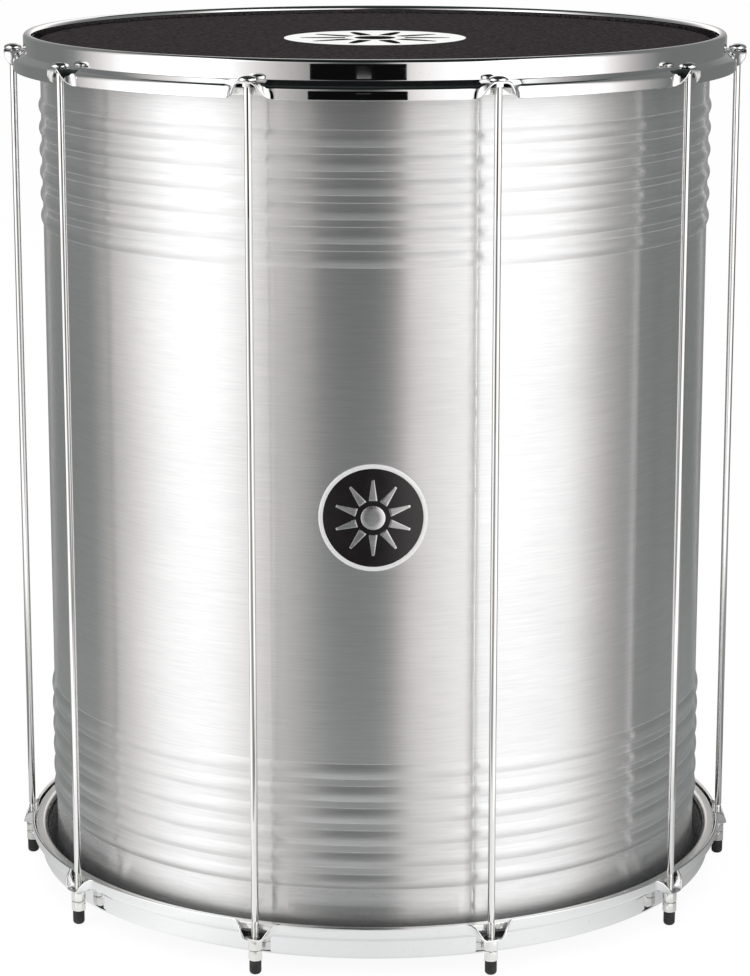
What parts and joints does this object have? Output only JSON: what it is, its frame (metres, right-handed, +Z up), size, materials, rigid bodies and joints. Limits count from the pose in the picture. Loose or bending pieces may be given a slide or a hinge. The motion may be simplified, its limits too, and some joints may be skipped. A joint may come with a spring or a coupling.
{
  "type": "surdo",
  "caption": "Deep cylindrical bass drum: ribbed aluminium shell, black heads, steel hoops with rod ears, full-length tension rods, paired nuts and rubber tips it stands on.",
  "frame": {"origin": "on the floor under the drum's axis, at the undersides of the rubber tips", "axes": "+Z up along the drum's axis, the badge faces -Y, +X to the right seen from the front"},
  "size_m": [0.6186, 0.6, 0.721],
  "materials": {
    "shell_aluminium": "brushed round the shell, clear",
    "badge_enamel": "gloss black field with a bright ring",
    "head_film": "black leather-look film, fine grain",
    "hoop_chrome": "mirror",
    "flesh_hoop_steel": "plated, satin",
    "rod_plating": "bright plated",
    "nut_plating": "bright zinc plated",
    "foot_rubber": "matt moulded"
  },
  "bodies": {
    "rod_frame": {"top_hoop": "hoop_chrome", "top_flesh_hoop": "flesh_hoop_steel", "tension_rod_01": "rod_plating", "tension_rod_02": "rod_plating", "tension_rod_03": "rod_plating", "tension_rod_04": "rod_plating", "tension_rod_05": "rod_plating", "tension_rod_06": "rod_plating", "tension_rod_07": "rod_plating", "tension_rod_08": "rod_plating", "tension_rod_09": "rod_plating", "tension_rod_10": "rod_plating", "rubber_foot_01": "foot_rubber", "rubber_foot_02": "foot_rubber", "rubber_foot_03": "foot_rubber", "rubber_foot_04": "foot_rubber", "rubber_foot_05": "foot_rubber", "rubber_foot_06": "foot_rubber", "rubber_foot_07": "foot_rubber", "rubber_foot_08": "foot_rubber", "rubber_foot_09": "foot_rubber", "rubber_foot_10": "foot_rubber"},
    "drum_shell": {"shell": "shell_aluminium", "badge": "badge_enamel", "top_head": "head_film", "bottom_head": "head_film"},
    "lower_hoop": {"bottom_hoop": "hoop_chrome", "bottom_flesh_hoop": "flesh_hoop_steel"},
    "nuts_01": {"tuning_nut_01": "nut_plating", "lock_nut_01": "nut_plating"},
    "nuts_02": {"tuning_nut_02": "nut_plating", "lock_nut_02": "nut_plating"},
    "nuts_03": {"tuning_nut_03": "nut_plating", "lock_nut_03": "nut_plating"},
    "nuts_04": {"tuning_nut_04": "nut_plating", "lock_nut_04": "nut_plating"},
    "nuts_05": {"tuning_nut_05": "nut_plating", "lock_nut_05": "nut_plating"},
    "nuts_06": {"tuning_nut_06": "nut_plating", "lock_nut_06": "nut_plating"},
    "nuts_07": {"tuning_nut_07": "nut_plating", "lock_nut_07": "nut_plating"},
    "nuts_08": {"tuning_nut_08": "nut_plating", "lock_nut_08": "nut_plating"},
    "nuts_09": {"tuning_nut_09": "nut_plating", "lock_nut_09": "nut_plating"},
    "nuts_10": {"tuning_nut_10": "nut_plating", "lock_nut_10": "nut_plating"}
  },
  "joints": [
    {"name": "shell_slide", "type": "slide", "parent": "rod_frame", "child": "drum_shell", "axis": [0, 0, 1], "range_m": [0, 0.002]},
    {"name": "lower_hoop_slide", "type": "slide", "parent": "drum_shell", "child": "lower_hoop", "axis": [0, 0, 1], "range_m": [0, 0.002]},
    {"name": "nut_turn_01", "type": "hinge", "parent": "lower_hoop", "child": "nuts_01", "pos_m": [0.0933, -0.28715, 0.0202], "axis": [0, 0, 1], "range_deg": [0, 1440]},
    {"name": "nut_turn_02", "type": "hinge", "parent": "lower_hoop", "child": "nuts_02", "pos_m": [0.24427, -0.17747, 0.0202], "axis": [0, 0, 1], "range_deg": [0, 1440]},
    {"name": "nut_turn_03", "type": "hinge", "parent": "lower_hoop", "child": "nuts_03", "pos_m": [0.30193, 0, 0.0202], "axis": [0, 0, 1], "range_deg": [0, 1440]},
    {"name": "nut_turn_04", "type": "hinge", "parent": "lower_hoop", "child": "nuts_04", "pos_m": [0.24427, 0.17747, 0.0202], "axis": [0, 0, 1], "range_deg": [0, 1440]},
    {"name": "nut_turn_05", "type": "hinge", "parent": "lower_hoop", "child": "nuts_05", "pos_m": [0.0933, 0.28715, 0.0202], "axis": [0, 0, 1], "range_deg": [0, 1440]},
    {"name": "nut_turn_06", "type": "hinge", "parent": "lower_hoop", "child": "nuts_06", "pos_m": [-0.0933, 0.28715, 0.0202], "axis": [0, 0, 1], "range_deg": [0, 1440]},
    {"name": "nut_turn_07", "type": "hinge", "parent": "lower_hoop", "child": "nuts_07", "pos_m": [-0.24427, 0.17747, 0.0202], "axis": [0, 0, 1], "range_deg": [0, 1440]},
    {"name": "nut_turn_08", "type": "hinge", "parent": "lower_hoop", "child": "nuts_08", "pos_m": [-0.30193, 0, 0.0202], "axis": [0, 0, 1], "range_deg": [0, 1440]},
    {"name": "nut_turn_09", "type": "hinge", "parent": "lower_hoop", "child": "nuts_09", "pos_m": [-0.24427, -0.17747, 0.0202], "axis": [0, 0, 1], "range_deg": [0, 1440]},
    {"name": "nut_turn_10", "type": "hinge", "parent": "lower_hoop", "child": "nuts_10", "pos_m": [-0.0933, -0.28715, 0.0202], "axis": [0, 0, 1], "range_deg": [0, 1440]}
  ],
  "couplings": [
    {"joint": "lower_hoop_slide", "follows": "shell_slide", "ratio": 1},
    {"joint": "nut_turn_01", "follows": "shell_slide", "rad_per_m": 12566},
    {"joint": "nut_turn_02", "follows": "shell_slide", "rad_per_m": 12566},
    {"joint": "nut_turn_03", "follows": "shell_slide", "rad_per_m": 12566},
    {"joint": "nut_turn_04", "follows": "shell_slide", "rad_per_m": 12566},
    {"joint": "nut_turn_05", "follows": "shell_slide", "rad_per_m": 12566},
    {"joint": "nut_turn_06", "follows": "shell_slide", "rad_per_m": 12566},
    {"joint": "nut_turn_07", "follows": "shell_slide", "rad_per_m": 12566},
    {"joint": "nut_turn_08", "follows": "shell_slide", "rad_per_m": 12566},
    {"joint": "nut_turn_09", "follows": "shell_slide", "rad_per_m": 12566},
    {"joint": "nut_turn_10", "follows": "shell_slide", "rad_per_m": 12566}
  ]
}
